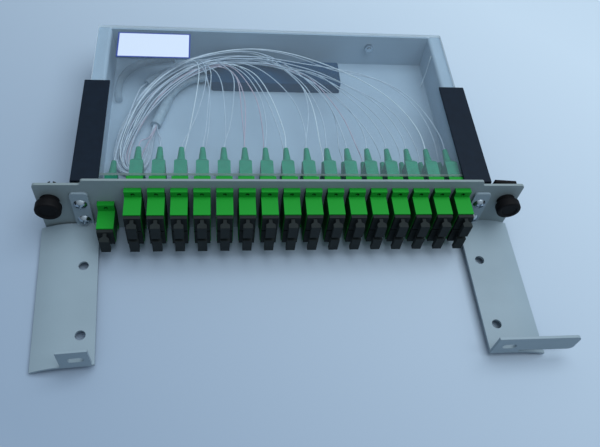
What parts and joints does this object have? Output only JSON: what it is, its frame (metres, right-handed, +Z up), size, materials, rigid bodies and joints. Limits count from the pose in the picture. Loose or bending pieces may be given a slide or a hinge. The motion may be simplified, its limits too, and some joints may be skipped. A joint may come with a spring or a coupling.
{
  "type": "rack tray with a fibre splitter",
  "caption": "Shallow sheet-metal tray with a clear cover, a front panel of green fibre adapters under black dust caps, push latches at its ears and two legs ahead of it.",
  "frame": {"origin": "the middle of the front panel's rear face, level with the tray's underside", "axes": "X along the panel, +Y into the tray, away from the adapters' faces, +Z up"},
  "size_m": [0.293, 0.2297, 0.044],
  "materials": {
    "tray_paint": "smooth light grey-blue coat, low gloss",
    "panel_paint": "smooth grey-blue coat, low gloss",
    "bracket_paint": "smooth grey-blue coat, low gloss",
    "clear_cover": "clear acrylic sheet",
    "clip_black": "satin black extrusion",
    "black_plastic": "moulded black nylon",
    "cap_black": "soft black moulding",
    "adapter_green": "moulded green",
    "connector_green": "moulded green",
    "plated_steel": "bright zinc plate",
    "module_grey": "dark blue-grey shell",
    "clear_tube": "milky tube",
    "fibre_white": "white buffered fibre"
  },
  "bodies": {
    "tray_body": {"tray": "tray_paint", "front_panel": "panel_paint", "cover": "clear_cover", "latch_grommet_left": "black_plastic", "latch_grommet_right": "black_plastic", "latch_retainer_right": "black_plastic", "bracket_left": "bracket_paint", "bracket_right": "bracket_paint", "bracket_screws": "plated_steel", "bracket_nuts": "plated_steel", "rear_screw": "plated_steel", "rear_nut": "plated_steel", "output_adapters": "adapter_green", "output_connectors": "connector_green", "input_adapter": "adapter_green", "input_connector": "connector_green", "splitter_module": "module_grey", "fanout_sleeve": "clear_tube", "output_tube": "clear_tube", "input_tube": "clear_tube", "fibre_loop": "fibre_white", "fibre_tails": "fibre_white", "input_fibre": "fibre_white"},
    "clip_left": {"cover_clip_left": "clip_black"},
    "clip_right": {"cover_clip_right": "clip_black"},
    "plunger_left": {"latch_plunger_left": "black_plastic"},
    "plunger_right": {"latch_plunger_right": "black_plastic"},
    "cap_01_upper": {"output_cap_01_upper": "cap_black"},
    "cap_01_lower": {"output_cap_01_lower": "cap_black"},
    "cap_02_upper": {"output_cap_02_upper": "cap_black"},
    "cap_02_lower": {"output_cap_02_lower": "cap_black"},
    "cap_03_upper": {"output_cap_03_upper": "cap_black"},
    "cap_03_lower": {"output_cap_03_lower": "cap_black"},
    "cap_04_upper": {"output_cap_04_upper": "cap_black"},
    "cap_04_lower": {"output_cap_04_lower": "cap_black"},
    "cap_05_upper": {"output_cap_05_upper": "cap_black"},
    "cap_05_lower": {"output_cap_05_lower": "cap_black"},
    "cap_06_upper": {"output_cap_06_upper": "cap_black"},
    "cap_06_lower": {"output_cap_06_lower": "cap_black"},
    "cap_07_upper": {"output_cap_07_upper": "cap_black"},
    "cap_07_lower": {"output_cap_07_lower": "cap_black"},
    "cap_08_upper": {"output_cap_08_upper": "cap_black"},
    "cap_08_lower": {"output_cap_08_lower": "cap_black"},
    "cap_09_upper": {"output_cap_09_upper": "cap_black"},
    "cap_09_lower": {"output_cap_09_lower": "cap_black"},
    "cap_10_upper": {"output_cap_10_upper": "cap_black"},
    "cap_10_lower": {"output_cap_10_lower": "cap_black"},
    "cap_11_upper": {"output_cap_11_upper": "cap_black"},
    "cap_11_lower": {"output_cap_11_lower": "cap_black"},
    "cap_12_upper": {"output_cap_12_upper": "cap_black"},
    "cap_12_lower": {"output_cap_12_lower": "cap_black"},
    "cap_13_upper": {"output_cap_13_upper": "cap_black"},
    "cap_13_lower": {"output_cap_13_lower": "cap_black"},
    "cap_14_upper": {"output_cap_14_upper": "cap_black"},
    "cap_14_lower": {"output_cap_14_lower": "cap_black"},
    "cap_15_upper": {"output_cap_15_upper": "cap_black"},
    "cap_15_lower": {"output_cap_15_lower": "cap_black"},
    "cap_16_upper": {"output_cap_16_upper": "cap_black"},
    "cap_16_lower": {"output_cap_16_lower": "cap_black"},
    "cap_input": {"input_cap": "cap_black"}
  },
  "joints": [
    {"name": "clip_left_slide", "type": "slide", "parent": "tray_body", "child": "clip_left", "axis": [0, 1, 0], "range_m": [0, 0.14]},
    {"name": "plunger_left_slide", "type": "slide", "parent": "tray_body", "child": "plunger_left", "axis": [0, -1, 0], "range_m": [0, 0.006]},
    {"name": "clip_right_slide", "type": "slide", "parent": "tray_body", "child": "clip_right", "axis": [0, 1, 0], "range_m": [0, 0.14]},
    {"name": "plunger_right_slide", "type": "slide", "parent": "tray_body", "child": "plunger_right", "axis": [0, -1, 0], "range_m": [0, 0.006]},
    {"name": "cap_01_upper_pull", "type": "slide", "parent": "tray_body", "child": "cap_01_upper", "axis": [0, -1, 0], "range_m": [0, 0.016]},
    {"name": "cap_01_lower_pull", "type": "slide", "parent": "tray_body", "child": "cap_01_lower", "axis": [0, -1, 0], "range_m": [0, 0.016]},
    {"name": "cap_02_upper_pull", "type": "slide", "parent": "tray_body", "child": "cap_02_upper", "axis": [0, -1, 0], "range_m": [0, 0.016]},
    {"name": "cap_02_lower_pull", "type": "slide", "parent": "tray_body", "child": "cap_02_lower", "axis": [0, -1, 0], "range_m": [0, 0.016]},
    {"name": "cap_03_upper_pull", "type": "slide", "parent": "tray_body", "child": "cap_03_upper", "axis": [0, -1, 0], "range_m": [0, 0.016]},
    {"name": "cap_03_lower_pull", "type": "slide", "parent": "tray_body", "child": "cap_03_lower", "axis": [0, -1, 0], "range_m": [0, 0.016]},
    {"name": "cap_04_upper_pull", "type": "slide", "parent": "tray_body", "child": "cap_04_upper", "axis": [0, -1, 0], "range_m": [0, 0.016]},
    {"name": "cap_04_lower_pull", "type": "slide", "parent": "tray_body", "child": "cap_04_lower", "axis": [0, -1, 0], "range_m": [0, 0.016]},
    {"name": "cap_05_upper_pull", "type": "slide", "parent": "tray_body", "child": "cap_05_upper", "axis": [0, -1, 0], "range_m": [0, 0.016]},
    {"name": "cap_05_lower_pull", "type": "slide", "parent": "tray_body", "child": "cap_05_lower", "axis": [0, -1, 0], "range_m": [0, 0.016]},
    {"name": "cap_06_upper_pull", "type": "slide", "parent": "tray_body", "child": "cap_06_upper", "axis": [0, -1, 0], "range_m": [0, 0.016]},
    {"name": "cap_06_lower_pull", "type": "slide", "parent": "tray_body", "child": "cap_06_lower", "axis": [0, -1, 0], "range_m": [0, 0.016]},
    {"name": "cap_07_upper_pull", "type": "slide", "parent": "tray_body", "child": "cap_07_upper", "axis": [0, -1, 0], "range_m": [0, 0.016]},
    {"name": "cap_07_lower_pull", "type": "slide", "parent": "tray_body", "child": "cap_07_lower", "axis": [0, -1, 0], "range_m": [0, 0.016]},
    {"name": "cap_08_upper_pull", "type": "slide", "parent": "tray_body", "child": "cap_08_upper", "axis": [0, -1, 0], "range_m": [0, 0.016]},
    {"name": "cap_08_lower_pull", "type": "slide", "parent": "tray_body", "child": "cap_08_lower", "axis": [0, -1, 0], "range_m": [0, 0.016]},
    {"name": "cap_09_upper_pull", "type": "slide", "parent": "tray_body", "child": "cap_09_upper", "axis": [0, -1, 0], "range_m": [0, 0.016]},
    {"name": "cap_09_lower_pull", "type": "slide", "parent": "tray_body", "child": "cap_09_lower", "axis": [0, -1, 0], "range_m": [0, 0.016]},
    {"name": "cap_10_upper_pull", "type": "slide", "parent": "tray_body", "child": "cap_10_upper", "axis": [0, -1, 0], "range_m": [0, 0.016]},
    {"name": "cap_10_lower_pull", "type": "slide", "parent": "tray_body", "child": "cap_10_lower", "axis": [0, -1, 0], "range_m": [0, 0.016]},
    {"name": "cap_11_upper_pull", "type": "slide", "parent": "tray_body", "child": "cap_11_upper", "axis": [0, -1, 0], "range_m": [0, 0.016]},
    {"name": "cap_11_lower_pull", "type": "slide", "parent": "tray_body", "child": "cap_11_lower", "axis": [0, -1, 0], "range_m": [0, 0.016]},
    {"name": "cap_12_upper_pull", "type": "slide", "parent": "tray_body", "child": "cap_12_upper", "axis": [0, -1, 0], "range_m": [0, 0.016]},
    {"name": "cap_12_lower_pull", "type": "slide", "parent": "tray_body", "child": "cap_12_lower", "axis": [0, -1, 0], "range_m": [0, 0.016]},
    {"name": "cap_13_upper_pull", "type": "slide", "parent": "tray_body", "child": "cap_13_upper", "axis": [0, -1, 0], "range_m": [0, 0.016]},
    {"name": "cap_13_lower_pull", "type": "slide", "parent": "tray_body", "child": "cap_13_lower", "axis": [0, -1, 0], "range_m": [0, 0.016]},
    {"name": "cap_14_upper_pull", "type": "slide", "parent": "tray_body", "child": "cap_14_upper", "axis": [0, -1, 0], "range_m": [0, 0.016]},
    {"name": "cap_14_lower_pull", "type": "slide", "parent": "tray_body", "child": "cap_14_lower", "axis": [0, -1, 0], "range_m": [0, 0.016]},
    {"name": "cap_15_upper_pull", "type": "slide", "parent": "tray_body", "child": "cap_15_upper", "axis": [0, -1, 0], "range_m": [0, 0.016]},
    {"name": "cap_15_lower_pull", "type": "slide", "parent": "tray_body", "child": "cap_15_lower", "axis": [0, -1, 0], "range_m": [0, 0.016]},
    {"name": "cap_16_upper_pull", "type": "slide", "parent": "tray_body", "child": "cap_16_upper", "axis": [0, -1, 0], "range_m": [0, 0.016]},
    {"name": "cap_16_lower_pull", "type": "slide", "parent": "tray_body", "child": "cap_16_lower", "axis": [0, -1, 0], "range_m": [0, 0.016]},
    {"name": "cap_input_pull", "type": "slide", "parent": "tray_body", "child": "cap_input", "axis": [0, -1, 0], "range_m": [0, 0.016]}
  ]
}
